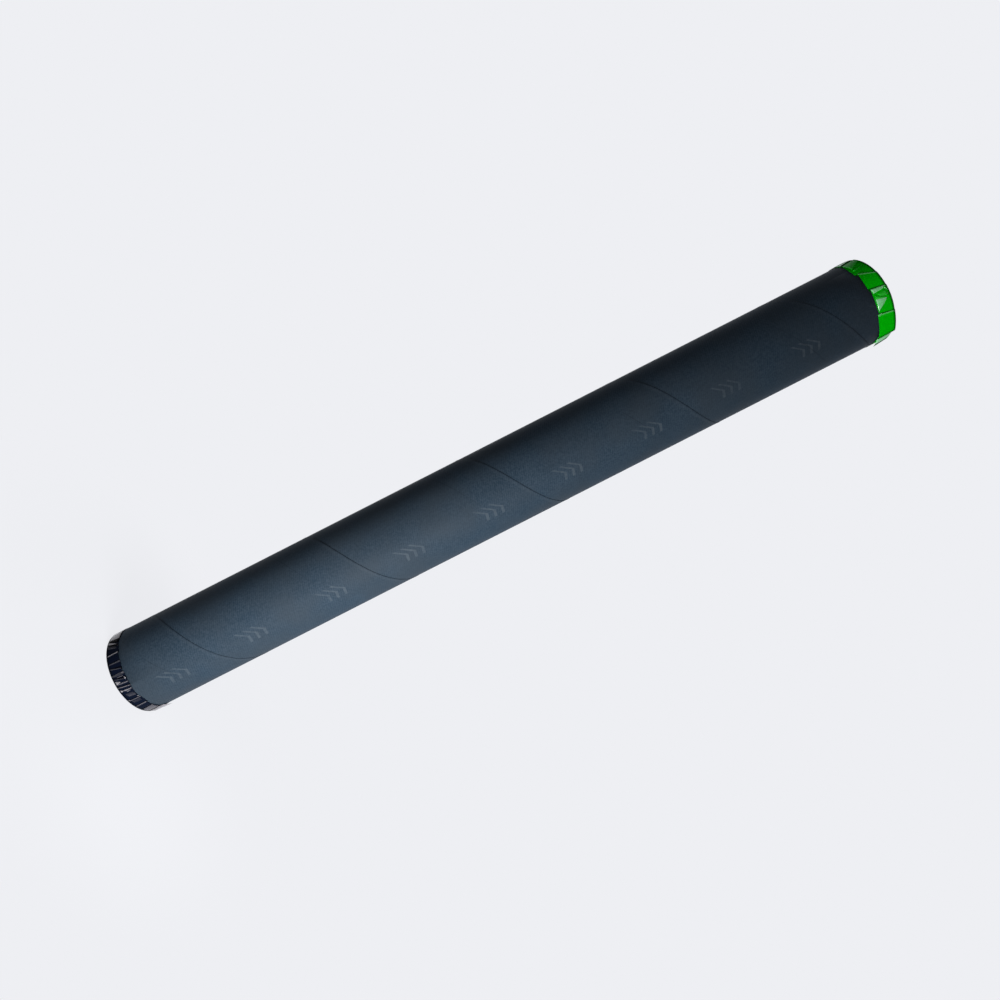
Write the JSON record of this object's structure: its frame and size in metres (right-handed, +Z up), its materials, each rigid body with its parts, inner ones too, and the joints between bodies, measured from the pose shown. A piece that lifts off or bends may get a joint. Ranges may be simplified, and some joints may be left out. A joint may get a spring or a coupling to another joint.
{
  "type": "streamer launcher",
  "caption": "Upright single-use streamer cannon: a wound black paper tube with a folded green film muzzle, pleated base film and an electric firing socket.",
  "frame": {"origin": "centre of the base, on the surface that the launcher stands on", "axes": "+Z up the barrel towards the muzzle, the way the streamers leave; -Y is the side that the picture shows"},
  "size_m": [0.0522, 0.0522, 0.4999],
  "materials": {
    "core_board": "matte grey board",
    "wrap_paper": "satin black laminate",
    "film_black": "gloss film",
    "film_green": "gloss film",
    "plug_plastic": "fine moulded",
    "seal_rubber": "matte",
    "socket_plastic": "satin",
    "contact_brass": "turned",
    "circuit_board": "solder mask",
    "resistor_body": "lacquered",
    "thread_cotton": "matte",
    "plate_steel": "zinc plated",
    "holder_plastic": "fine moulded",
    "screw_steel": "zinc plated",
    "striker_brass": "turned",
    "needle_steel": "ground",
    "spring_steel": "bright wire",
    "cylinder_steel": "drawn, zinc plated",
    "cap_aluminium": "crimped",
    "pusher_plastic": "fine moulded",
    "streamer_paper": "matte tissue"
  },
  "bodies": {
    "barrel": {"barrel_core": "core_board", "barrel_wrap": "wrap_paper", "base_film": "film_black", "muzzle_film_rim": "film_green", "base_plug": "plug_plastic", "plug_seal_ring": "seal_rubber", "socket_housing": "socket_plastic", "socket_bush": "contact_brass", "socket_tip_contact": "contact_brass", "release_board": "circuit_board", "heating_resistor": "resistor_body", "retaining_thread": "thread_cotton", "spring_plate": "plate_steel", "striker_guide": "holder_plastic", "guide_screws": "screw_steel", "striker_spring": "spring_steel", "gas_cylinder": "cylinder_steel", "cylinder_cap": "cap_aluminium", "neck_gasket": "seal_rubber", "cylinder_cradle": "holder_plastic", "cylinder_retainer": "holder_plastic", "spacer_sleeve": "core_board"},
    "payload": {"pusher": "pusher_plastic", "streamer_roll_01": "streamer_paper", "streamer_roll_02": "streamer_paper", "streamer_roll_03": "streamer_paper", "streamer_roll_04": "streamer_paper", "streamer_roll_05": "streamer_paper", "streamer_roll_06": "streamer_paper", "streamer_roll_07": "streamer_paper", "streamer_roll_08": "streamer_paper", "streamer_roll_09": "streamer_paper", "streamer_roll_10": "streamer_paper", "streamer_roll_11": "streamer_paper", "streamer_roll_12": "streamer_paper", "streamer_roll_13": "streamer_paper", "streamer_roll_14": "streamer_paper", "streamer_roll_15": "streamer_paper", "streamer_roll_16": "streamer_paper", "streamer_roll_17": "streamer_paper", "streamer_roll_18": "streamer_paper", "streamer_roll_19": "streamer_paper", "streamer_roll_20": "streamer_paper", "streamer_roll_21": "streamer_paper", "streamer_roll_22": "streamer_paper", "streamer_roll_23": "streamer_paper", "streamer_roll_24": "streamer_paper", "streamer_roll_25": "streamer_paper", "streamer_roll_26": "streamer_paper", "streamer_roll_27": "streamer_paper", "streamer_roll_28": "streamer_paper", "streamer_roll_29": "streamer_paper", "streamer_roll_30": "streamer_paper", "muzzle_disc": "core_board", "muzzle_film_face": "film_green"},
    "striker": {"striker": "striker_brass", "piercing_needle": "needle_steel"}
  },
  "joints": [
    {"name": "launch", "type": "slide", "parent": "barrel", "child": "payload", "axis": [0, 0, 1], "range_m": [0, 0.215]},
    {"name": "strike", "type": "slide", "parent": "barrel", "child": "striker", "axis": [0, 0, 1], "range_m": [0, 0.008], "deforming": ["striker_spring", "retaining_thread", "cylinder_cap"]}
  ]
}
